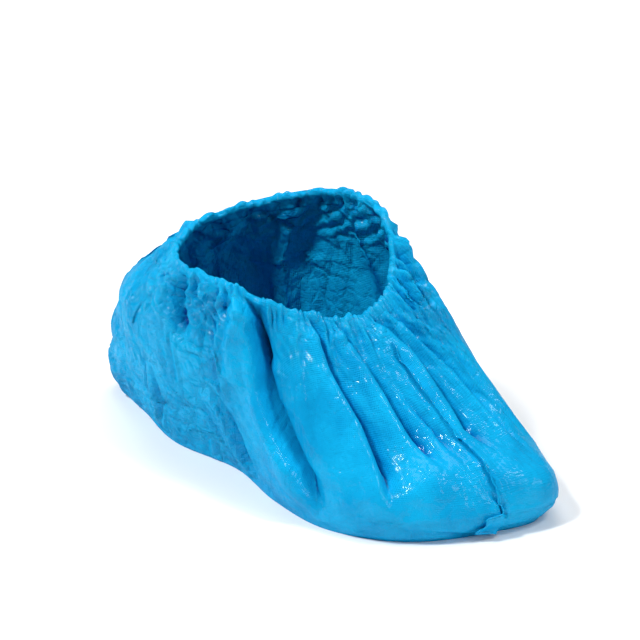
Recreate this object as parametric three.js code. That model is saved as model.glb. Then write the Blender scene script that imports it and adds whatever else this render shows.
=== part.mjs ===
// A disposable overshoe of thin embossed polythene film, in the shape that it takes on a bare right foot:
// a welded film bag, the hem round its ankle opening, the elastic in the hem, and the two end seams.
// Millimetres, +Z up, +X towards the toes and +Y towards the inner side of the foot. The origin is on the
// inside of the sole, straight below the ankle, where the foot stands in the cover.
import * as THREE from "three";

// Driving dimensions.
const WALL = 1.0; // film and hem, far thicker than the real 0.04 mm so that the wall is a solid
const GAP = 0.3; // clearance between neighbouring pieces
const COLUMNS = 112; // places around the foot at which the film, the hem and the elastic are cut
const ROWS = 12; // rows of film from the hem down to the sole
const FILM_TOP = 0.02; // the film's upper edge, as a share of the way from the elastic down to the sole
const GATHERS = 28; // small pleats that the elastic draws into the film and the hem
const GATHER_DEPTH = 0.8;
const GATHER_REACH = 0.3; // share of the way down at which the small pleats have died out
const GATHER_ONSET = 0.08; // share of the way down over which they come in below the film's upper edge
const FOLD_ONSET = 0.2; // share of a deep fold's length over which it comes in
const FOLD_END = 0.4; // and over which it runs out
const FOLD_SHOULDERS = 1.2; // how much the film swells beside a fold, as its crease draws it in
const HEM_INSIDE = 1.7; // half of the clear width inside the folded hem
const HEM_DROP = 5.5; // how far the two legs of the hem reach below the elastic
const ELASTIC_RADIUS = 1.1;
const ELASTIC_SIDES = 7;
const SEAM_WIDTH = 3.2; // how far a welded seam stands out from the film
const SEAM_THICKNESS = 1.2;
const SEAM_CLEARANCE = 2 * GAP;
const SEAM_LEAN = 35; // degrees by which a seam leans over from upright
const SEAM_STEPS = 18;
const FOLD_LEAN = 1.3; // sections by which the folds of the outer side run forwards on their way down
const LEAN_SPAN = { start: 2.2, whole: 4.2, easing: 5.4, end: 7.4 }; // sections between which they do so
const LEAN_DEPTH = 0.8; // share of the way down from which the folds run straight down again
const SOLE_LINE = { heel: -40, toes: 110 }; // ends of the fold line under the middle of the sole
const SWELL_TURN = 0.4; // how far the rim's own place turns the swell away from the belly's direction

// Upright sections through the film, one row for each place around the foot, from the heel seam along the
// outer side to the toes and back along the inner side. rim is on the line of the elastic, and belly is where
// the film stands out furthest. Half way between the two it swells outwards by puff and upwards by lift. The
// edge of the flat sole lies inside the belly by tuck.
const SECTIONS = [
  { at: "heel seam", rim: [-59, 0, 106], puff: 12, lift: 9, belly: [-115, -9, 6], tuck: 2 },
  { at: "heel outer", rim: [-50, -27, 102], puff: 15, lift: 10, belly: [-77, -32, 20], tuck: 6 },
  { at: "ankle outer", rim: [-26, -45, 104], puff: 13, lift: 6, belly: [-40, -48, 27], tuck: 9 },
  { at: "waist outer", rim: [4, -50, 107], puff: 9, lift: 4, belly: [6, -51, 28], tuck: 11 },
  { at: "arch outer", rim: [29, -43, 101], puff: 7, lift: 3, belly: [44, -60, 24], tuck: 7 },
  { at: "ball outer", rim: [44, -32, 95], puff: 5, lift: 2, belly: [84, -64, 17], tuck: 6 },
  { at: "toes outer", rim: [54, -17, 90], puff: 2, lift: 1, belly: [124, -48, 13], tuck: 4 },
  { at: "toe seam", rim: [58, 2, 88], puff: 1, lift: 1, belly: [155, -6, 11], tuck: 3 },
  { at: "toes inner", rim: [56, 18, 92], puff: 2, lift: 2, belly: [163, 25, 10], tuck: 3 },
  { at: "ball inner", rim: [49, 31, 103], puff: 5, lift: 4, belly: [136, 46, 13], tuck: 4 },
  { at: "arch inner", rim: [32, 44, 122], puff: 7, lift: 5, belly: [69, 55, 24], tuck: 8 },
  { at: "waist inner", rim: [-4, 51, 123], puff: 7, lift: 4, belly: [-2, 54, 32], tuck: 12 },
  { at: "heel inner", rim: [-40, 36, 114], puff: 11, lift: 6, belly: [-62, 42, 26], tuck: 9 },
];
const PLACES = SECTIONS.length;
const HEEL_SEAM = 0;
const TOE_SEAM = 7;

// The deep folds, one row each. top and foot are the places around the foot, in sections, at which the fold
// starts and runs out, from and to are the shares of the way down, depth is in millimetres and width is half
// of the fold's width in sections.
const FOLDS = [
  { name: "heel crumple", top: 1.95, foot: 1.8, from: 0.55, to: 0.95, depth: 2.0, width: 0.22 },
  { name: "ankle tuck", top: 2.2, foot: 2.9, from: 0.04, to: 0.4, depth: 3.5, width: 0.3 },
  { name: "waist hollow", top: 3.5, foot: 4.35, from: 0.35, to: 0.8, depth: 2.5, width: 0.3 },
  { name: "main fold", top: 3.85, foot: 5.05, from: 0.03, to: 0.88, depth: 6.0, width: 0.32 },
  { name: "second fold", top: 5.2, foot: 5.98, from: 0.03, to: 0.68, depth: 4.0, width: 0.26 },
  { name: "third fold", top: 5.85, foot: 6.65, from: 0.03, to: 0.55, depth: 3.5, width: 0.25 },
  { name: "instep fold", top: 7.35, foot: 7.5, from: 0.03, to: 0.55, depth: 3.0, width: 0.24 },
  { name: "ridge fold", top: 7.95, foot: 8.1, from: 0.05, to: 0.55, depth: 3.0, width: 0.24 },
  { name: "inner instep fold", top: 9.4, foot: 8.9, from: 0.06, to: 0.6, depth: 3.0, width: 0.3 },
  { name: "inner arch fold", top: 10.5, foot: 9.9, from: 0.04, to: 0.7, depth: 4.0, width: 0.35 },
  { name: "inner ankle fold", top: 11.4, foot: 11.6, from: 0.04, to: 0.7, depth: 4.0, width: 0.35 },
  { name: "inner heel fold", top: 12.3, foot: 12.5, from: 0.04, to: 0.6, depth: 3.0, width: 0.3 },
];

const filmMaterial = new THREE.MeshStandardMaterial({ color: 0x16a0dc, roughness: 0.42, metalness: 0 });
const hemMaterial = new THREE.MeshStandardMaterial({ color: 0x1496d2, roughness: 0.48, metalness: 0 });
const seamMaterial = new THREE.MeshStandardMaterial({ color: 0x1290cc, roughness: 0.38, metalness: 0 });
const elasticMaterial = new THREE.MeshStandardMaterial({ color: 0xe9e6dd, roughness: 0.85, metalness: 0 });

// The four closed lines that every upright section passes through: elastic, swell, belly and sole edge.
const vector = ([x, y, z]) => new THREE.Vector3(x, y, z);
const closedLine = (points) => new THREE.CatmullRomCurve3(points, true, "centripetal");

function swellPoint({ rim, belly, puff, lift }) {
  const outwards = vector(belly).addScaledVector(vector(rim), -SWELL_TURN).setZ(0).normalize();
  const halfWay = vector(rim).lerp(vector(belly), 0.5);
  return halfWay.addScaledVector(outwards, puff).add(new THREE.Vector3(0, 0, lift));
}

function towardsSoleLine(edge) {
  const middle = THREE.MathUtils.clamp(edge.x, SOLE_LINE.heel, SOLE_LINE.toes);
  return new THREE.Vector3(middle, 0, edge.z).sub(edge).normalize();
}

function solePoint({ belly, tuck }) {
  const edge = vector(belly);
  return edge.addScaledVector(towardsSoleLine(edge), tuck).setZ(-WALL);
}

const LINES = [
  closedLine(SECTIONS.map(({ rim }) => vector(rim))),
  closedLine(SECTIONS.map(swellPoint)),
  closedLine(SECTIONS.map(({ belly }) => vector(belly))),
  closedLine(SECTIONS.map(solePoint)),
];

// A point of the smooth film. around counts sections, and down runs from 0 at the elastic to 1 at the sole.
function smoothFilm(around, down) {
  const share = THREE.MathUtils.euclideanModulo(around, PLACES) / PLACES;
  const stations = LINES.map((line) => line.getPoint(share));
  return new THREE.CatmullRomCurve3(stations, false, "centripetal").getPoint(down);
}

// The film's own directions at a point: out of its surface, down along it, and forwards around the foot.
function filmFrame(around, down) {
  const step = 0.02;
  const above = smoothFilm(around, Math.max(0, down - step));
  const below = smoothFilm(around, Math.min(1, down + step));
  const downwards = below.sub(above).normalize();
  const forwards = smoothFilm(around + step, down).sub(smoothFilm(around - step, down)).normalize();
  const outwards = forwards.clone().cross(downwards).negate().normalize();
  return { outwards, downwards, forwards };
}

// How far the folds and the small pleats push the film out of its smooth surface, in millimetres.
function foldHeight(around, down) {
  let height = 0;
  for (const { top, foot, from, to, depth, width } of FOLDS) {
    if (down <= from || down >= to) continue;
    const along = (down - from) / (to - from);
    const centre = THREE.MathUtils.lerp(top, foot, along);
    const across = (around - centre) / width;
    const fade = Math.min(1, along / FOLD_ONSET) * Math.min(1, (1 - along) / FOLD_END);
    height -= depth * fade * (1 - FOLD_SHOULDERS * across ** 2) * Math.exp(-(across ** 2));
  }
  const pleat = Math.cos((2 * Math.PI * GATHERS * around) / PLACES);
  const pleatFade = Math.min(1, (down - FILM_TOP) / GATHER_ONSET) * Math.max(0, 1 - down / GATHER_REACH);
  return height + GATHER_DEPTH * pleat * pleatFade;
}

function film(around, down, depth = 0) {
  const { outwards } = filmFrame(around, down);
  return smoothFilm(around, down).addScaledVector(outwards, foldHeight(around, down) - depth);
}

// A closed mesh from rings of points, each ring running once around. Where the rings don't come back to the
// first one, the two end rings are closed by flat caps.
function skinRings(rings, { endless }) {
  const count = rings[0].length;
  const faces = [];
  const last = endless ? rings.length : rings.length - 1;
  for (let ring = 0; ring < last; ring += 1) {
    const next = (ring + 1) % rings.length;
    for (let column = 0; column < count; column += 1) {
      const beside = (column + 1) % count;
      const [a, b] = [ring * count + column, ring * count + beside];
      const [c, d] = [next * count + column, next * count + beside];
      faces.push(a, b, d, a, d, c);
    }
  }
  if (!endless) {
    const capFaces = (ring) => {
      const outline = ring.map(({ x, y }) => new THREE.Vector2(x, y));
      return THREE.ShapeUtils.triangulateShape(outline, []);
    };
    const start = (rings.length - 1) * count;
    for (const [a, b, c] of capFaces(rings[0])) faces.push(b, a, c);
    for (const [a, b, c] of capFaces(rings.at(-1))) faces.push(start + a, start + b, start + c);
  }
  const geometry = new THREE.BufferGeometry().setFromPoints(rings.flat());
  geometry.setIndex(faces);
  geometry.computeVertexNormals();
  return geometry;
}

const placesAround = Array.from({ length: COLUMNS }, (_, column) => (column * PLACES) / COLUMNS);
const ringAt = (point) => placesAround.map(point);

// The columns of film lean forwards over the outer side, as its folds do, so that each fold follows a column.
function leaning(around, down) {
  const rise = THREE.MathUtils.smoothstep(around, LEAN_SPAN.start, LEAN_SPAN.whole);
  const fall = 1 - THREE.MathUtils.smoothstep(around, LEAN_SPAN.easing, LEAN_SPAN.end);
  return around + FOLD_LEAN * rise * fall * Math.min(down, LEAN_DEPTH);
}

// The film bag: its outer skin from the sole edge up to the hem, its inner skin back down, and the flat sole.
function filmGeometry() {
  const downs = Array.from({ length: ROWS }, (_, row) => THREE.MathUtils.lerp(FILM_TOP, 1, row / ROWS));
  const filmRing = (down, depth) => ringAt((around) => film(leaning(around, down), down, depth));
  const outside = downs.map((down) => filmRing(down, 0));
  const inside = downs.map((down) => filmRing(down, WALL));
  const soleUnder = ringAt((around) => smoothFilm(leaning(around, 1), 1));
  const soleTop = ringAt((around) => {
    const edge = smoothFilm(leaning(around, 1), 1);
    return edge.addScaledVector(towardsSoleLine(edge), WALL).setZ(0);
  });
  return skinRings([soleUnder, ...outside.reverse(), ...inside, soleTop], { endless: false });
}

// The hem: the film's edge turned over the elastic, an upside-down U in section with its legs along the film.
function hemGeometry() {
  const section = [];
  const arc = (radius, from, to, steps) => {
    for (let step = 0; step <= steps; step += 1) {
      const angle = THREE.MathUtils.lerp(from, to, step / steps);
      section.push({ out: radius * Math.cos(angle), up: radius * Math.sin(angle) });
    }
  };
  const outer = HEM_INSIDE + WALL;
  section.push({ out: outer, up: -HEM_DROP });
  arc(outer, 0, Math.PI, 4);
  section.push({ out: -outer, up: -HEM_DROP }, { out: -HEM_INSIDE, up: -HEM_DROP });
  arc(HEM_INSIDE, Math.PI, 0, 3);
  section.push({ out: HEM_INSIDE, up: -HEM_DROP });
  const rings = section.map(({ out, up }) =>
    ringAt((around) => {
      const { outwards, downwards } = filmFrame(around, 0);
      const pleat = 0.5 + 0.5 * Math.cos((2 * Math.PI * GATHERS * around) / PLACES);
      const isOuterSkin = Math.hypot(out, Math.max(0, up)) > HEM_INSIDE + 0.5 * WALL;
      const swell = isOuterSkin ? 1 + (GATHER_DEPTH * pleat) / outer : 1;
      const point = smoothFilm(around, 0).addScaledVector(outwards, out * swell - 0.5 * WALL);
      return point.addScaledVector(downwards, up > 0 ? -up * swell : -up);
    }),
  );
  return skinRings(rings, { endless: true });
}

// The elastic: one endless round cord that lies at the top of the hem.
function elasticGeometry() {
  const rings = Array.from({ length: ELASTIC_SIDES }, (_, side) => {
    const angle = (2 * Math.PI * side) / ELASTIC_SIDES;
    return ringAt((around) => {
      const { outwards, downwards } = filmFrame(around, 0);
      const out = ELASTIC_RADIUS * Math.cos(angle) - 0.5 * WALL;
      const point = smoothFilm(around, 0).addScaledVector(outwards, out);
      return point.addScaledVector(downwards, -ELASTIC_RADIUS * Math.sin(angle));
    });
  });
  return skinRings(rings, { endless: true });
}

const HEEL_SEAM_SPAN = [0.1, 0.93]; // shares of the way down
const TOE_SEAM_SPAN = [0.1, 0.95];

// A welded end seam: a narrow doubled strip that stands out from the film all the way down one section.
function seamGeometry(around, [from, to]) {
  const lean = THREE.MathUtils.degToRad(SEAM_LEAN);
  const corners = [
    [0, -1],
    [1, -1],
    [1, 1],
    [0, 1],
  ];
  const vertices = [];
  for (let step = 0; step <= SEAM_STEPS; step += 1) {
    const down = THREE.MathUtils.lerp(from, to, step / SEAM_STEPS);
    const { outwards, forwards } = filmFrame(around, down);
    const upright = outwards.clone().multiplyScalar(Math.cos(lean)).addScaledVector(forwards, Math.sin(lean));
    const sideways = forwards.clone().multiplyScalar(Math.cos(lean)).addScaledVector(outwards, -Math.sin(lean));
    const root = film(around, down, -SEAM_CLEARANCE);
    for (const [tip, side] of corners) {
      const corner = root.clone().addScaledVector(upright, tip * SEAM_WIDTH);
      vertices.push(corner.addScaledVector(sideways, 0.5 * side * SEAM_THICKNESS));
    }
  }
  const faces = [0, 1, 2, 0, 2, 3];
  for (let step = 0; step < SEAM_STEPS; step += 1) {
    for (let corner = 0; corner < 4; corner += 1) {
      const [a, b] = [4 * step + corner, 4 * step + ((corner + 1) % 4)];
      faces.push(b, a, a + 4, b, a + 4, b + 4);
    }
  }
  const end = 4 * SEAM_STEPS;
  faces.push(end + 2, end + 1, end, end + 3, end + 2, end);
  const geometry = new THREE.BufferGeometry().setFromPoints(vertices);
  geometry.setIndex(faces);
  geometry.computeVertexNormals();
  return geometry;
}

function named(name, geometry, material) {
  const mesh = new THREE.Mesh(geometry, material);
  mesh.name = name;
  return mesh;
}

const shoeCover = new THREE.Group();
shoeCover.add(
  named("cover_film", filmGeometry(), filmMaterial),
  named("rim_hem", hemGeometry(), hemMaterial),
  named("elastic_band", elasticGeometry(), elasticMaterial),
  named("heel_seam", seamGeometry(HEEL_SEAM, HEEL_SEAM_SPAN), seamMaterial),
  named("toe_seam", seamGeometry(TOE_SEAM, TOE_SEAM_SPAN), seamMaterial),
);

export default shoeCover;
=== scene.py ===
# A disposable overshoe of thin blue film, as it looks on a foot: the film bag, its gathered hem, the elastic
# in the hem, the two end welds, and then the floor, lights and camera.
import math

import bpy
import numpy as np
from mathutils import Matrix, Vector


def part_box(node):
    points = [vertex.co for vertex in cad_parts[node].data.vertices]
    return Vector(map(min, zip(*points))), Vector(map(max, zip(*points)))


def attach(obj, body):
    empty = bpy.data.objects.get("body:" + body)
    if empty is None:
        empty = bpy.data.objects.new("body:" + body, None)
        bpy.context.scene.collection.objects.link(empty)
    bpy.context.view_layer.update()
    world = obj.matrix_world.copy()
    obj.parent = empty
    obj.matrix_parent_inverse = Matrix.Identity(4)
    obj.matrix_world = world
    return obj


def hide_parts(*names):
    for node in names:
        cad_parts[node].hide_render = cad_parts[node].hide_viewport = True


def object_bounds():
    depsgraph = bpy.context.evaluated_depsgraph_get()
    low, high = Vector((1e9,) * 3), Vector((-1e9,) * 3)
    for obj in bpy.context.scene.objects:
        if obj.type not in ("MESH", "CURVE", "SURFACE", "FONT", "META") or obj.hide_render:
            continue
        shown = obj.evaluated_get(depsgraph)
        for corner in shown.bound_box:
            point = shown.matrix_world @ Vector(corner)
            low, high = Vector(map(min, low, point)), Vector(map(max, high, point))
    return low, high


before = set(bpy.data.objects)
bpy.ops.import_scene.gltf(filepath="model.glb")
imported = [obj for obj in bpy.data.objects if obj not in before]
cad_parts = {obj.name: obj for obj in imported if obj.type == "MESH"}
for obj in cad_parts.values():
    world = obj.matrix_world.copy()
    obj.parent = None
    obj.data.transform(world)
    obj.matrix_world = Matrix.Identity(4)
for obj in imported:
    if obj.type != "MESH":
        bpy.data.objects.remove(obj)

cad_low, cad_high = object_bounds()

# ---------------------------------------------------------------------------------------------------------
# The film bag
# One bag of embossed polythene film, cut flat as 400 by 300 mm, folded along the sole and welded at the heel
# and the toes. The elastic draws its upper edge in, and a foot inside holds the rest of it out.
# ---------------------------------------------------------------------------------------------------------
MM = 0.001
FLAT_WIDTH, FLAT_LENGTH = 300 * MM, 400 * MM
FILM_THICKNESS = 0.15 * MM  # drawn thicker than the real 0.04 mm, so that both faces survive as a mesh

# Upright sections through the film in millimetres, from the heel weld along the outer side of a right foot
# to the toes, and back along the inner side.
SECTIONS = [
    dict(at="heel weld", rim=(-59, 0, 106), puff=12, lift=9, belly=(-115, -9, 12), tuck=9),
    dict(at="heel outer", rim=(-50, -27, 102), puff=15, lift=10, belly=(-77, -32, 21), tuck=8),
    dict(at="ankle outer", rim=(-26, -45, 104), puff=13, lift=6, belly=(-40, -48, 27), tuck=9),
    dict(at="waist outer", rim=(4, -50, 107), puff=9, lift=4, belly=(6, -51, 28), tuck=11),
    dict(at="arch outer", rim=(29, -43, 101), puff=7, lift=3, belly=(44, -60, 24), tuck=7),
    dict(at="ball outer", rim=(44, -32, 95), puff=5, lift=2, belly=(84, -64, 17), tuck=6),
    dict(at="toes outer", rim=(54, -17, 90), puff=2, lift=1, belly=(124, -48, 14), tuck=7),
    dict(at="toe weld", rim=(58, 2, 88), puff=1, lift=1, belly=(155, -6, 14), tuck=8),
    dict(at="toes inner", rim=(56, 18, 92), puff=2, lift=2, belly=(163, 25, 14), tuck=9),
    dict(at="ball inner", rim=(49, 31, 103), puff=5, lift=4, belly=(136, 46, 14), tuck=7),
    dict(at="arch inner", rim=(32, 44, 122), puff=7, lift=5, belly=(69, 55, 24), tuck=8),
    dict(at="waist inner", rim=(-4, 51, 123), puff=7, lift=4, belly=(-2, 54, 32), tuck=12),
    dict(at="heel inner", rim=(-40, 36, 114), puff=7, lift=3, belly=(-62, 42, 26), tuck=9),
]
PLACES = len(SECTIONS)
HEEL_WELD, TOE_WELD = 0, 7
SOLE_LINE = (-40, 110)  # ends of the line under the middle of the sole towards which its edges are tucked
SWELL_TURN = 0.4  # how far the rim's own place turns the swell away from the belly's direction

PLEATS = 76  # small gathers round the elastic
COLUMNS = 6 * PLEATS  # of the film's grid, all round the foot
ROWS = 94  # from the elastic to the edge of the sole
SOLE_ROWS = 10  # and on to the sole's middle
FILM_TOP = 0.02  # the film's upper edge, as a share of the way down
SOLE_MIDDLE = (20, 0)  # millimetres


def catmull_rom(points, shares, closed):
    """Centripetal spline through points, at shares from 0 to 1 of the way along it."""
    points = np.asarray(points, float)
    count = len(points)
    place = np.asarray(shares, float) * (count if closed else count - 1)
    first = np.floor(place).astype(int)
    if not closed:
        first = np.minimum(first, count - 2)
        points = np.concatenate([[2 * points[0] - points[1]], points, [2 * points[-1] - points[-2]]])
        first = first + 1
    weight = (place - (first if closed else first - 1)).reshape((-1,) + (1,) * (points.ndim - 1))
    corner = [points[(first + step) % len(points)] for step in (-1, 0, 1, 2)]
    gap = [
        np.maximum(np.linalg.norm(after - before, axis=-1, keepdims=True) ** 0.5, 1e-6)
        for before, after in zip(corner, corner[1:])
    ]
    slope_in = (corner[1] - corner[0]) / gap[0] - (corner[2] - corner[0]) / (gap[0] + gap[1])
    slope_in = (slope_in + (corner[2] - corner[1]) / gap[1]) * gap[1]
    slope_out = (corner[2] - corner[1]) / gap[1] - (corner[3] - corner[1]) / (gap[1] + gap[2])
    slope_out = (slope_out + (corner[3] - corner[2]) / gap[2]) * gap[1]
    rise = corner[2] - corner[1]
    square = 3 * rise - 2 * slope_in - slope_out
    cube = slope_in + slope_out - 2 * rise
    return corner[1] + slope_in * weight + square * weight**2 + cube * weight**3


def unit(vectors):
    return vectors / np.maximum(np.linalg.norm(vectors, axis=-1, keepdims=True), 1e-12)


def section_stations():
    """The four points that each upright section passes through: elastic, swell, belly and sole edge."""
    rim = np.array([section["rim"] for section in SECTIONS], float)
    belly = np.array([section["belly"] for section in SECTIONS], float)
    puff = np.array([[section["puff"]] for section in SECTIONS], float)
    lift = np.array([section["lift"] for section in SECTIONS], float)
    tuck = np.array([[section["tuck"]] for section in SECTIONS], float)
    level = np.array([1, 1, 0])
    swell = (rim + belly) / 2 + puff * unit((belly - SWELL_TURN * rim) * level)
    swell[:, 2] += lift
    spine = belly * (1, 0, 1)
    spine[:, 0] = np.clip(spine[:, 0], *SOLE_LINE)
    sole = belly + tuck * unit(spine - belly)
    sole[:, 2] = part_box("cover_film")[0][2] / MM
    return [rim, swell, belly, sole]


def smooth_film(around, down):
    """Points of the film without its folds, one row for each value of down, in millimetres."""
    shares = np.asarray(around) % PLACES / PLACES
    stations = np.array([catmull_rom(line, shares, closed=True) for line in section_stations()])
    return catmull_rom(stations, down, closed=False)


def film_directions(points):
    """Out of the surface, down along it and forwards around it, for a grid of points."""
    forwards = unit(np.roll(points, -1, axis=1) - np.roll(points, 1, axis=1))
    downwards = unit(np.gradient(points, axis=0))
    return unit(np.cross(downwards, forwards)), downwards, forwards


def wander(around, seed, waves=5):
    """A smooth random value between about -1 and 1 that closes up round the foot."""
    random = np.random.default_rng(seed)
    turns = random.integers(2, 4 * waves, waves)
    phases = random.uniform(0, 2 * math.pi, waves)
    waves_here = [np.cos(2 * math.pi * turn * around / PLACES + phase) for turn, phase in zip(turns, phases)]
    return sum(waves_here) / waves**0.5


def smooth_step(value, low, high):
    share = np.clip((value - low) / (high - low), 0, 1)
    return share * share * (3 - 2 * share)


def window(around, low, high, soft):
    """1 between two places round the foot, and 0 outside them."""
    return smooth_step(around, low - soft, low + soft) * (1 - smooth_step(around, high - soft, high + soft))


# The folds that the elastic sends down into the film. path is where a fold runs, as (share of the way down,
# place around the foot counted in sections). depth is how deep it cuts, or how far it stands out if negative,
# heel_side and toe_side are the swells beside it, and overhang is how far its heel side leans over it, all in
# millimetres. width is half of the crease's width in sections.
FOLDS = [
    dict(at="heel corner", path=((0.48, 1.98), (0.70, 1.90), (0.95, 1.66)),
         depth=2.8, width=0.06, heel_side=1.5, toe_side=0.5, overhang=1.0),
    dict(at="ankle tuck", path=((0.02, 2.05), (0.10, 2.18), (0.22, 2.45), (0.36, 2.68)),
         depth=7.0, width=0.13, heel_side=3.0, toe_side=2.5, overhang=1.5),
    dict(at="ankle pit", path=((0.05, 2.12), (0.09, 2.16), (0.17, 2.24)),
         depth=5.0, width=0.10, heel_side=1.0, toe_side=1.0, overhang=0.0),
    dict(at="ankle ridge", path=((0.05, 3.00), (0.18, 3.15), (0.32, 3.15), (0.45, 3.30), (0.60, 3.62)),
         depth=-3.5, width=0.11, heel_side=-1.5, toe_side=-1.5, overhang=0.0),
    dict(at="waist tuck", path=((0.48, 3.05), (0.60, 3.20), (0.85, 3.42), (1.00, 3.65)),
         depth=5.5, width=0.11, heel_side=2.5, toe_side=1.5, overhang=2.0),
    dict(at="flap crease", path=((0.10, 3.38), (0.22, 3.45), (0.36, 3.55), (0.52, 3.80)),
         depth=2.5, width=0.08, heel_side=1.0, toe_side=0.5, overhang=0.5),
    dict(at="main fold",
         path=((0.01, 3.70), (0.15, 3.74), (0.38, 3.92), (0.48, 4.27), (0.58, 4.66), (0.88, 5.00)),
         depth=14.0, width=0.18, heel_side=6.5, toe_side=1.5, overhang=7.0),
    dict(at="main pit", path=((0.07, 3.78), (0.15, 3.80), (0.28, 3.86)),
         depth=8.0, width=0.18, heel_side=0.5, toe_side=0.5, overhang=0.0),
    dict(at="second fold", path=((0.01, 5.20), (0.18, 5.45), (0.35, 5.80), (0.50, 5.95), (0.70, 5.98)),
         depth=9.5, width=0.12, heel_side=3.5, toe_side=1.5, overhang=4.5),
    dict(at="third fold", path=((0.01, 5.86), (0.10, 6.15), (0.25, 6.35), (0.38, 6.45), (0.56, 6.70)),
         depth=8.0, width=0.10, heel_side=3.0, toe_side=1.2, overhang=3.5),
    dict(at="instep crease", path=((0.20, 6.62), (0.38, 6.78), (0.54, 6.82)),
         depth=2.5, width=0.06, heel_side=0.8, toe_side=0.3, overhang=0.8),
    dict(at="instep fold", path=((0.02, 7.08), (0.15, 7.38), (0.28, 7.33), (0.40, 7.30), (0.52, 7.45)),
         depth=8.0, width=0.12, heel_side=3.0, toe_side=1.2, overhang=3.5),
    dict(at="ridge fold", path=((0.03, 7.75), (0.22, 8.00), (0.35, 8.00), (0.54, 8.08)),
         depth=6.5, width=0.10, heel_side=2.5, toe_side=0.8, overhang=1.5),
    dict(at="ridge crease", path=((0.06, 8.30), (0.25, 8.45), (0.55, 8.50)),
         depth=2.0, width=0.08, heel_side=0.8, toe_side=0.5, overhang=0.0),
    dict(at="inner instep", path=((0.02, 9.10), (0.30, 8.95), (0.62, 8.85)),
         depth=4.0, width=0.15, heel_side=1.5, toe_side=1.5, overhang=0.0),
    dict(at="inner arch", path=((0.02, 10.2), (0.35, 9.90), (0.80, 9.50)),
         depth=5.5, width=0.13, heel_side=1.5, toe_side=3.0, overhang=-2.0),
    dict(at="inner waist", path=((0.02, 10.9), (0.40, 10.6), (0.75, 10.4)),
         depth=4.5, width=0.11, heel_side=1.0, toe_side=2.0, overhang=-1.0),
    dict(at="inner ankle", path=((0.02, 11.6), (0.35, 11.7), (0.85, 11.4)),
         depth=5.5, width=0.13, heel_side=2.5, toe_side=1.5, overhang=1.5),
    dict(at="inner heel", path=((0.02, 12.3), (0.40, 12.5), (0.75, 12.6)),
         depth=4.0, width=0.12, heel_side=1.5, toe_side=1.0, overhang=0.5),
    dict(at="toe crease", path=((0.55, 6.88), (0.62, 6.98), (0.74, 7.02)),
         depth=2.5, width=0.05, heel_side=0.8, toe_side=0.8, overhang=0.5),
    dict(at="toe undercut", path=((0.78, 6.25), (0.90, 6.45), (1.00, 6.70)),
         depth=3.0, width=0.10, heel_side=0.5, toe_side=1.0, overhang=0.0),
]
# The film stands out over the tips of the toes, along a slightly wavy line.
TOE_EDGE = dict(down=0.54, stand_out=7.0, reach=0.075, ripple=0.03, ripples=3)
TOE_EDGE_PLACES = dict(low=6.0, high=8.1, soft=0.6)
STEEP_SIDE, GENTLE_SIDE = 0.8, 2.2  # a fold drops sharply on its heel side and rises slowly towards the toes
CREASE_POWER = 1.5  # how square the bottom of a crease is
SWELL_AT, SWELL_WIDTH = 1.7, 1.1  # of the swells beside a fold, counted in half-widths of its crease
LEAN_AT, LEAN_WIDTH = -1.3, 0.9  # of the part that leans over it, counted likewise
RIM_FOLD = 0.05  # a fold that starts above this share of the way down is one at the rim
RIM_ONSET, LOW_ONSET = 0.10, 0.45  # share of its length at which it is whole, for one at the rim or lower
ONSET_START, FADE_START = -0.02, 0.6  # and at which it starts to come in and to run out


def fold_shift(around, down):
    """How far the folds push the film out of its surface and forwards along it, in millimetres."""
    out = np.zeros_like(around)
    forwards = np.zeros_like(around)
    for fold in FOLDS:
        steps, places = np.transpose(fold["path"])
        centre = np.interp(down, steps, places)
        across = ((around - centre + PLACES / 2) % PLACES - PLACES / 2) / fold["width"]
        along = (down - steps[0]) / (steps[-1] - steps[0])
        onset = RIM_ONSET if steps[0] < RIM_FOLD else LOW_ONSET
        fade = smooth_step(along, ONSET_START, onset) * (1 - smooth_step(along, FADE_START, 1))
        shoulder = np.where(across < 0, fold["heel_side"], fold["toe_side"])
        swell = shoulder * np.exp(-(((np.abs(across) - SWELL_AT) / SWELL_WIDTH) ** 2))
        slope = np.where(across < 0, -across / STEEP_SIDE, across / GENTLE_SIDE)
        out += fade * (swell - fold["depth"] * np.exp(-slope ** CREASE_POWER))
        forwards += fade * fold["overhang"] * np.exp(-(((across - LEAN_AT) / LEAN_WIDTH) ** 2))
    ripple = TOE_EDGE["ripple"] * np.sin(TOE_EDGE["ripples"] * around)
    below = (down + ripple - TOE_EDGE["down"]) / TOE_EDGE["reach"]
    toes = window(around, **TOE_EDGE_PLACES)
    out += TOE_EDGE["stand_out"] * np.exp(-(below**2)) * toes
    return out, forwards


PLEAT_LEVELS = [  # each level has half as many pleats as the last, and reaches further down
    dict(share=1.0, height=1.3, reach=0.16),
    dict(share=0.5, height=1.5, reach=0.34),
    dict(share=0.25, height=1.2, reach=0.60),
]
PLEAT_DRIFT, PLEAT_SLANT = 0.05, 0.25  # how unevenly the pleats are spaced, and how they stray further down
PLEAT_ROUNDNESS = 0.7  # less than 1 makes their backs broad and the valleys between them narrow
PLEAT_FADE = 1.3  # more than 1 makes them die out sooner at first
UNEVEN = 0.6  # how much some pleats stand out more than others
RIM_FADE = 0.03  # share of the way down over which pleats and puckers come in below the rim
# Stretches of the rim in sections. The film is slack at the inner and ankle ones and smoother at the heel.
INNER_RIM = dict(low=8.3, high=11, soft=0.5)
ANKLE_RIM = dict(low=1.7, high=3.4, soft=0.4)
HEEL_RIM = dict(low=11.7, high=12.8, soft=0.3)
MORE_INSIDE, MORE_AT_ANKLE, LESS_AT_HEEL = 0.9, 0.6, 0.6  # how much higher or lower the pleats are there


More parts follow.
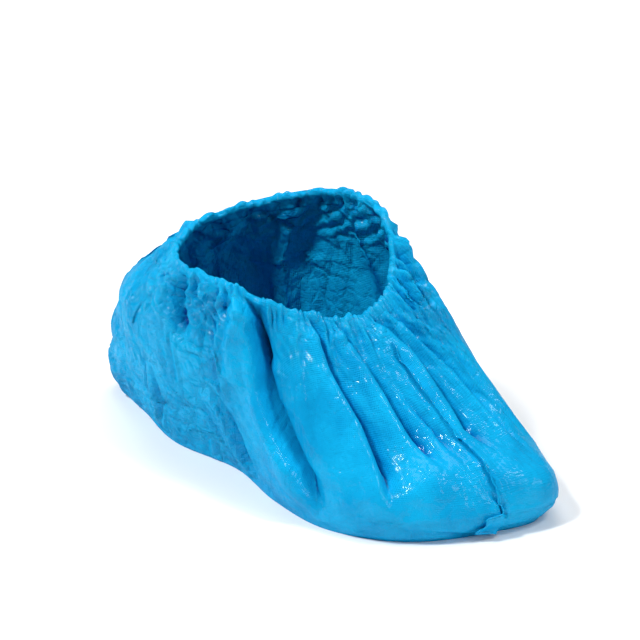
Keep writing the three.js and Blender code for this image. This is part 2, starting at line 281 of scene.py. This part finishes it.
def pleats(around, count):
    """Pleats with broad backs and narrow valleys, from -1 to 1."""
    turns = np.cos(2 * math.pi * count * around / PLACES)
    return 2 * np.abs((1 + turns) / 2) ** PLEAT_ROUNDNESS - 1


def pleat_height(around, down):
    """The small gathers at the elastic, which join in pairs on their way down."""
    drift = around + PLEAT_DRIFT * wander(around, seed=3) + PLEAT_SLANT * down * wander(around, seed=4)
    height = np.zeros_like(around)
    for number, level in enumerate(PLEAT_LEVELS):
        rounded = pleats(drift, PLEATS * level["share"])
        gain = 1 + UNEVEN * wander(around + 0.8 * down, seed=10 + number)
        gain += MORE_INSIDE * window(around, **INNER_RIM) + MORE_AT_ANKLE * window(around, **ANKLE_RIM)
        gain *= 1 - LESS_AT_HEEL * window(around, **HEEL_RIM)
        height += level["height"] * rounded * gain * np.clip(1 - down / level["reach"], 0, 1) ** PLEAT_FADE
    return height * smooth_step(down, 0, RIM_FADE)


PUCKERS = dict(height=1.5, reach=0.26, waves=14, turns=(22, 52), slant=15)
PUCKER_GAIN = dict(everywhere=0.2, inside=0.8, at_ankle=0.9)
PUCKER_FADE_START = 0.4  # share of their reach at which they start to die out


def pucker_height(around, down):
    """The lumps into which slack film is drawn up beside the elastic, a few millimetres across."""
    random = np.random.default_rng(50)
    height = np.zeros_like(around)
    for _ in range(PUCKERS["waves"]):
        turns = random.integers(*PUCKERS["turns"])
        slant = random.uniform(-1, 1) * PUCKERS["slant"]
        height += np.cos(2 * math.pi * (turns * around / PLACES + slant * down + random.uniform()))
    gain = PUCKER_GAIN["everywhere"] + PUCKER_GAIN["inside"] * window(around, **INNER_RIM)
    gain = gain + PUCKER_GAIN["at_ankle"] * window(around, **ANKLE_RIM)
    fade_start = PUCKER_FADE_START * PUCKERS["reach"]
    fade = smooth_step(down, 0, RIM_FADE) * (1 - smooth_step(down, fade_start, PUCKERS["reach"]))
    return PUCKERS["height"] * height / PUCKERS["waves"] ** 0.5 * gain * fade


def film_points():
    """The whole bag as a grid of points in metres. Its rows run from the elastic to the sole's middle."""
    columns = np.arange(COLUMNS) * PLACES / COLUMNS
    rows = np.linspace(FILM_TOP, 1, ROWS)
    around, down = np.meshgrid(columns, rows)
    points = smooth_film(columns, rows)
    outwards, _, forwards = film_directions(points)
    out, shift = fold_shift(around, down)
    out = out + pleat_height(around, down) + pucker_height(around, down)
    points = points + out[..., None] * outwards + shift[..., None] * forwards
    edge = points[-1]
    edge[:, 2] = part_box("cover_film")[0][2] / MM
    middle = np.array([*SOLE_MIDDLE, edge[0, 2]])
    inwards = np.linspace(0, 1, SOLE_ROWS + 1)[1:, None, None]
    return np.concatenate([points, edge + (middle - edge) * inwards]) * MM


LEVELLING = 90  # rounds of smoothing that level out a fold as wide as the main one
DEEPEST = 6  # millimetres of fold depth past which the painted shade in the folds deepens no more


def fold_depth(points):
    """How deep each point of a grid lies among the folds round it, in metres."""
    outwards, _, _ = film_directions(points)
    level = points
    for _ in range(LEVELLING):
        rows = np.pad(level, ((1, 1), (0, 0), (0, 0)), mode="edge")
        level = (rows[:-2] + rows[2:] + np.roll(level, 1, axis=1) + np.roll(level, -1, axis=1)) / 4
    return ((level - points) * outwards).sum(axis=-1)


def grid_mesh(name, points, closed=True, width=2 * FLAT_LENGTH, crumpled=0.0):
    """A mesh from a grid of points, whose rows run round the foot if it is closed. It carries its flat
    coordinates as a UV map, how crumpled the film is and, if it is closed, how deep its folds are."""
    rows, columns = points.shape[:2]
    numbers = np.arange(rows * columns).reshape(rows, columns)
    beside = np.roll(numbers, -1, axis=1)
    faces = np.stack([numbers[:-1], numbers[1:], beside[1:], beside[:-1]], axis=-1)
    faces = faces.reshape(-1, 4) if closed else faces[:, :-1].reshape(-1, 4)
    mesh = bpy.data.meshes.new(name)
    mesh.from_pydata(points.reshape(-1, 3).tolist(), [], faces.tolist())
    across = np.arange(columns + 1) * width / columns
    down = np.concatenate([[0], np.cumsum(np.linalg.norm(np.diff(points, axis=0), axis=-1).mean(axis=1))])
    corners = [(0, 0), (1, 0), (1, 1), (0, 1)]
    row, column = np.divmod(np.arange(len(faces)), columns if closed else columns - 1)
    uv = np.stack([[across[column + c], down[row + r]] for r, c in corners], axis=0).transpose(2, 0, 1)
    mesh.uv_layers.new(name="flat").data.foreach_set("uv", uv.reshape(-1))
    if closed:
        # how deep the folds are, which the film's material turns into painted shade
        depth = np.clip(fold_depth(points) / MM, -DEEPEST, DEEPEST).reshape(-1)
        mesh.attributes.new("fold_depth", "FLOAT", "POINT").data.foreach_set("value", depth)
    creased = np.broadcast_to(crumpled, (rows, columns)).reshape(-1)
    mesh.attributes.new("crumpled", "FLOAT", "POINT").data.foreach_set("value", creased)
    piece = bpy.data.objects.new(name, mesh)
    bpy.context.collection.objects.link(piece)
    return piece


def select_only(piece):
    bpy.ops.object.select_all(action="DESELECT")
    piece.select_set(True)
    bpy.context.view_layer.objects.active = piece


def tidy_up(piece, gap):
    """Joins doubled points, points the faces outwards and shades the piece smooth."""
    select_only(piece)
    bpy.ops.object.mode_set(mode="EDIT")
    bpy.ops.mesh.select_all(action="SELECT")
    bpy.ops.mesh.remove_doubles(threshold=gap)
    bpy.ops.mesh.normals_make_consistent(inside=False)
    bpy.ops.object.mode_set(mode="OBJECT")
    bpy.ops.object.shade_smooth()


def thicken(piece, thickness):
    select_only(piece)
    modifier = piece.modifiers.new("film thickness", "SOLIDIFY")
    modifier.thickness = thickness
    modifier.offset = -1
    bpy.ops.object.modifier_apply(modifier=modifier.name)


CRUMPLE_FRAMES = 10
CRUMPLE_LIMIT = 5.5 * MM  # how far a point may move
LOOSE_FILM = 0.075  # the most by which the film is larger than the place it has


def crumple(piece, held, tight):
    """Lets the film buckle as cloth. held says how firmly each vertex keeps to its place, and tight how
    little loose film there is round it."""
    for name, weights in (("held", held), ("tight", tight)):
        group = piece.vertex_groups.new(name=name)
        for number, weight in enumerate(weights.reshape(-1).tolist()):
            group.add([number], weight, "REPLACE")
    modifier = piece.modifiers.new("crumple", "CLOTH")
    cloth = modifier.settings
    cloth.quality = 6
    cloth.mass = 0.05
    cloth.air_damping = 4
    cloth.tension_stiffness = cloth.compression_stiffness = 30
    cloth.shear_stiffness = 15
    cloth.bending_stiffness = 0.007
    cloth.tension_damping = cloth.compression_damping = cloth.shear_damping = 10
    cloth.vertex_group_mass = "held"
    cloth.pin_stiffness = 1.0
    cloth.vertex_group_shrink = "tight"
    cloth.shrink_min = -LOOSE_FILM
    cloth.shrink_max = 0.0
    cloth.effector_weights.gravity = 0.0
    modifier.collision_settings.use_collision = False
    modifier.point_cache.frame_start = 1
    modifier.point_cache.frame_end = CRUMPLE_FRAMES
    for frame_number in range(1, CRUMPLE_FRAMES + 1):
        bpy.context.scene.frame_set(frame_number)
    select_only(piece)
    bpy.ops.object.modifier_apply(modifier=modifier.name)
    piece.vertex_groups.clear()


def read_points(piece):
    flat = np.empty(3 * len(piece.data.vertices))
    piece.data.vertices.foreach_get("co", flat)
    return flat.reshape(-1, 3)


TAUT_LOOSE, SOFT_LOOSE = 0.010, 0.064  # how much larger taut film is, and how much more so soft film is
TAUT_HELD, SOFT_HELD = 0.08, 0.07  # how firmly taut film keeps to its place, and how much more soft film does
STILL_ABOVE, STILL_BELOW = 0.05, 0.99  # shares of the way down above and below which nothing moves
LOOSENS, TIGHTENS = (0.03, 0.10), (0.9, 1.0)  # and over which the film grows loose, and taut again
# The film lies taut over the instep, and loose at the heel, under the ankle and by the inner side of the rim.
SOFT_OUTER_HEEL = dict(low=-1, high=3.4, soft=0.4)
SOFT_INNER_HEEL = dict(low=10.8, high=14, soft=0.4)
SOFT_INNER_RIM = dict(low=8.0, high=11.5, soft=0.6)
SOFT_RIM_SHARE = 0.6  # how soft it is there
SOFT_RIM_END = (0.15, 0.4)  # shares of the way down between which that ends
bag_points = film_points()
around, down = np.meshgrid(
    np.arange(COLUMNS) * PLACES / COLUMNS,
    np.concatenate([np.linspace(FILM_TOP, 1, ROWS), np.linspace(1, 2, SOLE_ROWS + 1)[1:]]),
)
soft_film = window(around, **SOFT_OUTER_HEEL) + window(around, **SOFT_INNER_HEEL)
soft_film += SOFT_RIM_SHARE * window(around, **SOFT_INNER_RIM) * (1 - smooth_step(down, *SOFT_RIM_END))
soft_film = np.clip(soft_film, 0, 1)
wall = slice(0, ROWS + 1)
loose = (TAUT_LOOSE + SOFT_LOOSE * soft_film) * (1 - smooth_step(down, *TIGHTENS))
loose = loose * smooth_step(down, *LOOSENS)
still = (down < STILL_ABOVE) | (down >= STILL_BELOW)
held = np.where(still, 1.0, TAUT_HELD + SOFT_HELD * soft_film)
loose_wall = grid_mesh("loose_wall", bag_points[wall])
crumple(loose_wall, held[wall], 1 - loose[wall] / LOOSE_FILM)
moved = read_points(loose_wall).reshape(bag_points[wall].shape) - bag_points[wall]
bpy.data.objects.remove(loose_wall)
length = np.linalg.norm(moved, axis=-1, keepdims=True)
bag_points[wall] += moved * np.minimum(1, CRUMPLE_LIMIT / np.maximum(length, 1e-9))
bag_points[..., 2] = np.maximum(bag_points[..., 2], cad_low.z)
film = grid_mesh("cover_bag", bag_points, crumpled=soft_film)
tidy_up(film, gap=0.05 * MM)
thicken(film, FILM_THICKNESS)


def linear(code):
    """An sRGB hex colour as the linear colour that a shader takes."""
    parts = [int(code[place : place + 2], 16) / 255 for place in (0, 2, 4)]
    return [part / 12.92 if part <= 0.04045 else ((part + 0.055) / 1.055) ** 2.4 for part in parts] + [1.0]


def node(tree, kind, settings=(), values=(), links=()):
    """Adds one node with its settings, the values of its inputs and the sockets linked to them. An input goes
    by its name, or by its number where several share a name."""
    made = tree.nodes.new(kind)
    for name, setting in dict(settings).items():
        setattr(made, name, setting)
    for name, value in dict(values).items():
        made.inputs[name].default_value = value
    for name, socket in dict(links).items():
        tree.links.new(socket, made.inputs[name])
    return made


# The film's own colour, then the painted shade at the bottom of its folds, from middling to deepest.
FILM_AND_FOLD_SHADE_COLOURS = ("0CA6DC", "007CB8", "00408C")
EMBOSS_PITCH = 1.5 * MM  # the real grid is about 1 mm, drawn coarser so that it shows


def embossed_polythene(name, colours, roughness, emboss):
    """Blown polythene film rolled with a fine grid. It is glossy plastic, so each crinkle glints, but the
    grid breaks the gloss into a soft sheen. colours run from the open film's own colour to the painted
    shade at the bottom of the deepest folds."""
    material = bpy.data.materials.new(name)
    material.use_nodes = True
    tree = material.node_tree
    shader = tree.nodes["Principled BSDF"]
    shader.inputs["Roughness"].default_value = roughness
    shader.inputs["IOR"].default_value = 1.5
    shader.inputs["Specular IOR Level"].default_value = 0.0  # the grid scatters it: what glints is the coat
    shader.inputs["Coat Weight"].default_value = 0.26
    shader.inputs["Coat Roughness"].default_value = 0.07
    place = node(tree, "ShaderNodeTexCoord")
    flat = node(tree, "ShaderNodeUVMap", {"uv_map": "flat"})
    crumpled = node(tree, "ShaderNodeAttribute", {"attribute_name": "crumpled"})

    # Colour: a little cloudy all over, with painted shade that darkens it where the film is folded in on
    # itself.
    cloudy = node(tree, "ShaderNodeTexNoise", values={"Scale": 1 / (22 * MM), "Detail": 3.0},
                  links={"Vector": place.outputs["Object"]})
    fold = node(tree, "ShaderNodeAttribute", {"attribute_name": "fold_depth"})
    # Painted shade: the deeper a point lies in a fold, the further the colour moves towards the dark stops.
    fold_shade = node(tree, "ShaderNodeMapRange", {"interpolation_type": "SMOOTHSTEP"},
                   values={"From Min": 0.2, "From Max": 4.8, "To Min": -0.3, "To Max": 0.7},
                   links={"Value": fold.outputs["Fac"]})
    shade = node(tree, "ShaderNodeMath", {"operation": "MULTIPLY_ADD"}, values={1: 0.8},
                 links={0: cloudy.outputs["Fac"], 2: fold_shade.outputs["Result"]})
    ramp = node(tree, "ShaderNodeValToRGB", links={"Fac": shade.outputs["Value"]})
    ramp.color_ramp.elements.new(0.5)
    for stop, (position, colour) in zip(ramp.color_ramp.elements, zip((0.0, 0.5, 1.0), colours)):
        stop.position = position
        stop.color = linear(colour)
    tree.links.new(ramp.outputs["Color"], shader.inputs["Base Color"])

    # Crinkles: short creases, a fine grain, lines that the elastic's pull sends down the film, and flat
    # facets where it is crumpled.
    creases = node(tree, "ShaderNodeTexVoronoi", {"feature": "DISTANCE_TO_EDGE"},
                   values={"Scale": 1 / (7 * MM)}, links={"Vector": place.outputs["Object"]})
    crease_height = node(tree, "ShaderNodeMapRange", values={"From Max": 0.2, "To Max": 0.6},
                         links={"Value": creases.outputs["Distance"]})
    fine = node(tree, "ShaderNodeTexNoise",
                values={"Scale": 1 / (2.5 * MM), "Detail": 3.0, "Distortion": 0.6},
                links={"Vector": place.outputs["Object"]})
    fine_gain = node(tree, "ShaderNodeMapRange", values={"To Min": 0.35, "To Max": 0.9},
                     links={"Value": crumpled.outputs["Fac"]})
    drawn_out = node(tree, "ShaderNodeMapping", values={"Scale": (1.0, 0.16, 1.0)},
                     links={"Vector": flat.outputs["UV"]})
    tension = node(tree, "ShaderNodeTexNoise", values={"Scale": 1 / (7 * MM), "Detail": 2.0},
                   links={"Vector": drawn_out.outputs["Vector"]})
    tension_gain = node(tree, "ShaderNodeMapRange", values={"To Min": 1.3, "To Max": 0.6},
                        links={"Value": crumpled.outputs["Fac"]})
    upright = node(tree, "ShaderNodeMapping", values={"Scale": (1.0, 1.0, 0.4)},
                   links={"Vector": place.outputs["Object"]})
    facets = node(tree, "ShaderNodeTexVoronoi", {"feature": "DISTANCE_TO_EDGE"},
                  values={"Scale": 1 / (13 * MM)}, links={"Vector": upright.outputs["Vector"]})
    facet_height = node(tree, "ShaderNodeMapRange", values={"From Max": 0.33, "To Max": 2.3},
                        links={"Value": facets.outputs["Distance"]})
    relief = node(tree, "ShaderNodeMath", {"operation": "MULTIPLY"},
                  links={0: crease_height.outputs["Result"], 1: fine_gain.outputs["Result"]})
    for height, gain in (
        (fine.outputs["Fac"], fine_gain.outputs["Result"]),
        (tension.outputs["Fac"], tension_gain.outputs["Result"]),
        (facet_height.outputs["Result"], crumpled.outputs["Fac"]),
    ):
        relief = node(tree, "ShaderNodeMath", {"operation": "MULTIPLY_ADD"},
                      links={0: height, 1: gain, 2: relief.outputs["Value"]})
    crinkle = node(tree, "ShaderNodeBump", values={"Strength": 1.0, "Distance": 0.8 * MM},
                   links={"Height": relief.outputs["Value"]})
    tree.links.new(crinkle.outputs["Normal"], shader.inputs["Coat Normal"])

    # Embossing: a grid of small cushions on the bias.
    turned = node(tree, "ShaderNodeMapping",
                  values={"Rotation": (0, 0, math.radians(45)), "Scale": [2 * math.pi / EMBOSS_PITCH] * 3},
                  links={"Vector": flat.outputs["UV"]})
    axes = node(tree, "ShaderNodeSeparateXYZ", links={"Vector": turned.outputs["Vector"]})
    waves = [
        node(tree, "ShaderNodeMath", {"operation": "SINE"}, links={0: axes.outputs[axis]})
        for axis in ("X", "Y")
    ]
    grid = node(tree, "ShaderNodeMath", {"operation": "MULTIPLY"},
                links={0: waves[0].outputs["Value"], 1: waves[1].outputs["Value"]})
    embossing = node(tree, "ShaderNodeBump", values={"Strength": emboss, "Distance": 0.10 * MM},
                     links={"Height": grid.outputs["Value"], "Normal": crinkle.outputs["Normal"]})
    tree.links.new(embossing.outputs["Normal"], shader.inputs["Normal"])
    return material


film_finish = embossed_polythene("embossed polythene film", FILM_AND_FOLD_SHADE_COLOURS, roughness=0.32, emboss=1.0)
film.data.materials.append(film_finish)
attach(film, "root")
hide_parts("cover_film")

# ---------------------------------------------------------------------------------------------------------
# The hem
# The upper edge of the film, turned over the elastic and gathered on it. It is the same film doubled, so it
# stands up in small stiff ruffles.
# ---------------------------------------------------------------------------------------------------------
HEM_SECTION = [  # out of the film and up from the elastic, and how much of a ruffle shows there
    dict(out=-2.2, up=-0.8, ruffle=0.3),
    dict(out=-2.2, up=0.8, ruffle=0.7),
    dict(out=-1.2, up=2.2, ruffle=1.0),
    dict(out=0.3, up=2.4, ruffle=1.0),
    dict(out=1.4, up=1.2, ruffle=1.0),
    dict(out=1.6, up=-0.6, ruffle=0.7),
]
HEM_ROWS = 12
HEM_INNER_ROWS = 5  # rows of the film that the inner layer of the hem lies against
HEM_OUTER_ROWS = 9  # and the outer layer
HEM_LIFT = 0.25  # millimetres from the film to the hem's outer layer, and half of those to its inner one
WELD_DEPTH = 0.12  # millimetres by which the last rows sink into the film that they are welded to
WELD_ROWS = 4
RUFFLE_DRIFT = 0.02  # how much more unevenly ruffles are spaced than the pleats below them
RUFFLE_BASE = 0.7  # the height of a middling ruffle, as a share of a whole one
RUFFLE_LIMIT, LUMP_LIMIT = 1.1, 1.2
ANKLE_CURL = 0.4  # how much more the slack stretch at the ankle ruffles
# How far in millimetres a whole ruffle, lump or small wave moves the hem out, up or along.
RUFFLE_OUT, RUFFLE_UP = 0.8, 0.5
LUMP_OUT, LUMP_UP = 0.8, 0.8
WAVE_UP, WAVE_ALONG = 0.6, 0.6
ELASTIC_SPACE = (-2.0, 1.0, 1.5)  # how far in, out and up the elastic reaches from the hem's line


def hem_points():
    """The hem as a grid of points in metres, from its inner edge over the elastic and down on the film."""
    columns = np.arange(COLUMNS) * PLACES / COLUMNS
    near_rim = smooth_film(columns, [0.0, 0.01])
    rim = near_rim[0]
    forwards = unit(np.roll(rim, -1, axis=0) - np.roll(rim, 1, axis=0))
    downwards = unit(near_rim[1] - near_rim[0])
    outwards = unit(np.cross(downwards, forwards))
    keys = ("out", "up", "ruffle")
    table = [[row[key] for key in keys] for row in HEM_SECTION]
    section = catmull_rom(table, np.linspace(0, 1, HEM_ROWS), closed=False)
    drift = columns + PLEAT_DRIFT * wander(columns, seed=3)
    drift = drift + RUFFLE_DRIFT * wander(columns, seed=8, waves=7)
    curled = 1 + ANKLE_CURL * window(columns, **ANKLE_RIM)
    ruffles = pleats(drift, PLEATS) * (RUFFLE_BASE + UNEVEN * wander(columns, seed=10, waves=8)) * curled
    ruffles = np.clip(ruffles, -RUFFLE_LIMIT, RUFFLE_LIMIT)
    lumps = np.clip(wander(columns, seed=21, waves=9) * curled, -LUMP_LIMIT, LUMP_LIMIT)
    inmost, outmost, topmost = ELASTIC_SPACE
    rows = []
    for out, up, ruffle in section:
        push = out + ruffle * (RUFFLE_OUT * ruffles + LUMP_OUT * lumps)
        push = np.minimum(push, inmost) if out < inmost else push
        push = np.maximum(push, outmost) if out > outmost else push
        bumps = LUMP_UP * lumps + RUFFLE_UP * ruffles + WAVE_UP * wander(columns, seed=30, waves=14)
        rise = up + ruffle * bumps
        rise = np.maximum(rise, topmost) if up > topmost else rise
        sway = WAVE_ALONG * ruffle * wander(columns, seed=31, waves=12)
        rows.append(rim + push[:, None] * outwards - rise[:, None] * downwards + sway[:, None] * forwards)
    out_of_film = film_directions(bag_points[: HEM_OUTER_ROWS + 1])[0]
    inner = bag_points[1:HEM_INNER_ROWS] / MM - 2 * HEM_LIFT * out_of_film[1:HEM_INNER_ROWS]
    sunk = smooth_step(np.arange(1, HEM_OUTER_ROWS), HEM_OUTER_ROWS - WELD_ROWS, HEM_OUTER_ROWS - 1)
    lift = (HEM_LIFT - (HEM_LIFT + WELD_DEPTH) * sunk)[:, None, None]
    outer = bag_points[1:HEM_OUTER_ROWS] / MM + lift * out_of_film[1:HEM_OUTER_ROWS]
    return np.concatenate([inner[::-1], rows, outer]) * MM


HEM_CRUMPLED = 0.5  # at least, because the elastic crumples it even where the film below is taut
hem = grid_mesh("gathered_hem", hem_points(), crumpled=np.maximum(soft_film[0], HEM_CRUMPLED))
tidy_up(hem, gap=0.01 * MM)
thicken(hem, FILM_THICKNESS)
hem_finish = embossed_polythene("doubled hem film", FILM_AND_FOLD_SHADE_COLOURS, roughness=0.32, emboss=0.8)
hem.data.materials.append(hem_finish)
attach(hem, "root")
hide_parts("rim_hem")

# ---------------------------------------------------------------------------------------------------------
# The welds
# The bag's two ends are closed by hot bars, which leave a stiff flattened lip of doubled film outside each
# weld. At the toes the end of the lip has folded over into a small tab.
# ---------------------------------------------------------------------------------------------------------
WELDS = [  # width and lift of the lip's edge off the film in millimetres, the width by share of the way down
    dict(name="heel_weld", node="heel_seam", section=HEEL_WELD, lift=0.5,
         width=((0.10, 1.5), (0.30, 2.5), (0.60, 3.0), (0.90, 2.5), (0.93, 1.5))),
    dict(name="toe_weld", node="toe_seam", section=TOE_WELD, lift=2.2,
         width=((0.10, 0.8), (0.60, 1.2), (0.66, 2.5), (0.68, 10.0), (0.84, 12.0), (0.87, 2.5), (0.95, 1.0))),
]
WELD_COLUMNS = 9
LIP_GAP = 0.2  # between the lip and the film that it lies on
EDGE_WAVER, LIFT_WAVER = 0.12, 0.3  # how unevenly the lip is cut, and how unevenly it lifts


def weld_points(section, lift, width):
    """The lip as a grid of points in metres. Its rows run down the weld, and its columns back over the film
    on the weld's outer side."""
    shares, widths = np.transpose(width)
    downs = np.linspace(FILM_TOP, 1, ROWS)
    rows = np.flatnonzero((downs >= shares[0]) & (downs <= shares[-1]))
    beside = 1 if section == HEEL_WELD else -1
    column = round(section * COLUMNS / PLACES)
    across = bag_points[rows, column + beside] - bag_points[rows, column]
    spacing = np.linalg.norm(across, axis=-1).mean() / MM
    reach = np.interp(downs[rows], shares, widths)
    reach = reach * (1 + EDGE_WAVER * wander(downs[rows] * PLACES, seed=section + 5, waves=2))
    out = np.linspace(0, 1, WELD_COLUMNS)
    steps = np.outer(reach, out) / spacing
    whole = np.floor(steps).astype(int)
    part = (steps - whole)[..., None]
    near = column + beside * whole
    outwards = film_directions(bag_points)[0]
    lip = (1 - part) * bag_points[rows[:, None], near] + part * bag_points[rows[:, None], near + beside]
    wave = 1 + LIFT_WAVER * wander(downs[rows] * PLACES, seed=section + 41, waves=3)
    raised = LIP_GAP + lift * np.outer(wave, out**2)
    lip = lip + raised[..., None] * outwards[rows[:, None], near] * MM
    lip[..., 2] = np.maximum(lip[..., 2], cad_low.z + 2 * FILM_THICKNESS)
    return lip


welded = embossed_polythene("welded film edge", FILM_AND_FOLD_SHADE_COLOURS, roughness=0.20, emboss=0.3)
for weld in WELDS:
    lip_points = weld_points(weld["section"], weld["lift"], weld["width"])
    lip = grid_mesh(weld["name"], lip_points, closed=False, width=WELD_COLUMNS * MM)
    tidy_up(lip, gap=0.01 * MM)
    thicken(lip, 2 * FILM_THICKNESS)
    lip.data.materials.append(welded)
    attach(lip, "root")
    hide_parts(weld["node"])

# ---------------------------------------------------------------------------------------------------------
# The elastic
# An endless cord of natural rubber thread, laid in the hem before the hem is closed. It is the plain round
# ring of the CAD, which the hem hides, with a rubber finish of its own.
# ---------------------------------------------------------------------------------------------------------
def rubber_thread(name):
    """Cut natural rubber thread: cream, quite matt and dusted with talc, with a faint cut grain."""
    material = bpy.data.materials.new(name)
    material.use_nodes = True
    tree = material.node_tree
    shader = tree.nodes["Principled BSDF"]
    shader.inputs["Roughness"].default_value = 0.75
    shader.inputs["IOR"].default_value = 1.52
    place = node(tree, "ShaderNodeTexCoord")
    talc = node(tree, "ShaderNodeTexNoise", values={"Scale": 1 / (3 * MM), "Detail": 4.0},
                links={"Vector": place.outputs["Object"]})
    ramp = node(tree, "ShaderNodeValToRGB", links={"Fac": talc.outputs["Fac"]})
    ramp.color_ramp.elements[0].color = linear("D8CBB0")
    ramp.color_ramp.elements[1].color = linear("F0EADC")
    tree.links.new(ramp.outputs["Color"], shader.inputs["Base Color"])
    grain = node(tree, "ShaderNodeTexNoise", values={"Scale": 1 / (0.4 * MM), "Detail": 2.0},
                 links={"Vector": place.outputs["Object"]})
    bump = node(tree, "ShaderNodeBump", values={"Strength": 0.4, "Distance": 0.1 * MM},
                links={"Height": grain.outputs["Fac"]})
    tree.links.new(bump.outputs["Normal"], shader.inputs["Normal"])
    return material


elastic = bpy.data.objects["elastic_band"]
for material_slot in elastic.material_slots:
    material_slot.material = rubber_thread("natural rubber thread")

# ---------------------------------------------------------------------------------------------------------
# Floor, lights and camera
# A matt white floor in a white surround, five soft lamps, and a long-lensed camera that looks down on the
# toes from the outer side. Azimuth 0 is the outer side of the foot, and 90 is straight ahead of the toes.
# ---------------------------------------------------------------------------------------------------------
FLOOR_SIZE = 2.6  # metres
bpy.ops.object.select_all(action="DESELECT")
bpy.ops.mesh.primitive_plane_add(size=FLOOR_SIZE, location=(0, 0, cad_low.z))
floor = bpy.context.object
floor.name = "floor"
paint = bpy.data.materials.new("matt white floor")
paint.use_nodes = True
paint_shader = paint.node_tree.nodes["Principled BSDF"]
paint_shader.inputs["Base Color"].default_value = linear("FAFAFA")
paint_shader.inputs["Roughness"].default_value = 0.9
floor.data.materials.append(paint)

SURROUND_LIGHT = 0.17  # how much the surround lights the cover. In sight, it is plain white
world = bpy.data.worlds.new("studio")
world.use_nodes = True
surround = world.node_tree.nodes["Background"]
surround.inputs["Color"].default_value = linear("FFFFFF")
in_sight = node(world.node_tree, "ShaderNodeLightPath")
brightness = node(world.node_tree, "ShaderNodeMapRange", values={"To Min": SURROUND_LIGHT, "To Max": 1.0},
                  links={"Value": in_sight.outputs["Is Camera Ray"]})
world.node_tree.links.new(brightness.outputs["Result"], surround.inputs["Strength"])
bpy.context.scene.world = world


def direction(azimuth, elevation):
    """The way out from the cover at an azimuth and an elevation in degrees."""
    a, e = math.radians(azimuth), math.radians(elevation)
    return np.array([math.sin(a) * math.cos(e), -math.cos(a) * math.cos(e), math.sin(e)])


def aim(thing, target, azimuth, elevation, distance):
    """Puts a lamp or a camera at a distance from target, and turns it to face it."""
    back = Vector(direction(azimuth, elevation))
    thing.location = Vector(target) + back * distance
    thing.rotation_mode = "QUATERNION"
    thing.rotation_quaternion = (-back).to_track_quat("-Z", "Y")


LIT_PLACE = (0.03, 0, 0.04)  # near the cover's middle
LIGHTS = [  # angles in degrees, metres and watts
    dict(name="key", azimuth=-18, elevation=55, distance=2.6, size=0.42, power=48),
    dict(name="fill", azimuth=105, elevation=60, distance=2.6, size=0.55, power=18),
    dict(name="toes", azimuth=96, elevation=26, distance=2.6, size=0.9, power=15),
    dict(name="side", azimuth=297, elevation=18, distance=2.6, size=0.50, power=18),
    dict(name="back", azimuth=222, elevation=75, distance=1.6, size=1.0, power=11),
]
for light in LIGHTS:
    data = bpy.data.lights.new(light["name"], "AREA")
    data.size = light["size"]
    data.energy = light["power"]
    lamp = bpy.data.objects.new(light["name"], data)
    bpy.context.collection.objects.link(lamp)
    aim(lamp, LIT_PLACE, light["azimuth"], light["elevation"], light["distance"])

LOOKED_AT = (0.0258, 0.0014, 0.0759)
camera_data = bpy.data.cameras.new("camera")
camera_data.lens = 181.5
camera = bpy.data.objects.new("camera", camera_data)
bpy.context.collection.objects.link(camera)
aim(camera, LOOKED_AT, azimuth=42.1, elevation=24.4, distance=1.6506)
bpy.context.scene.camera = camera
bpy.context.scene.view_settings.view_transform = "Standard"
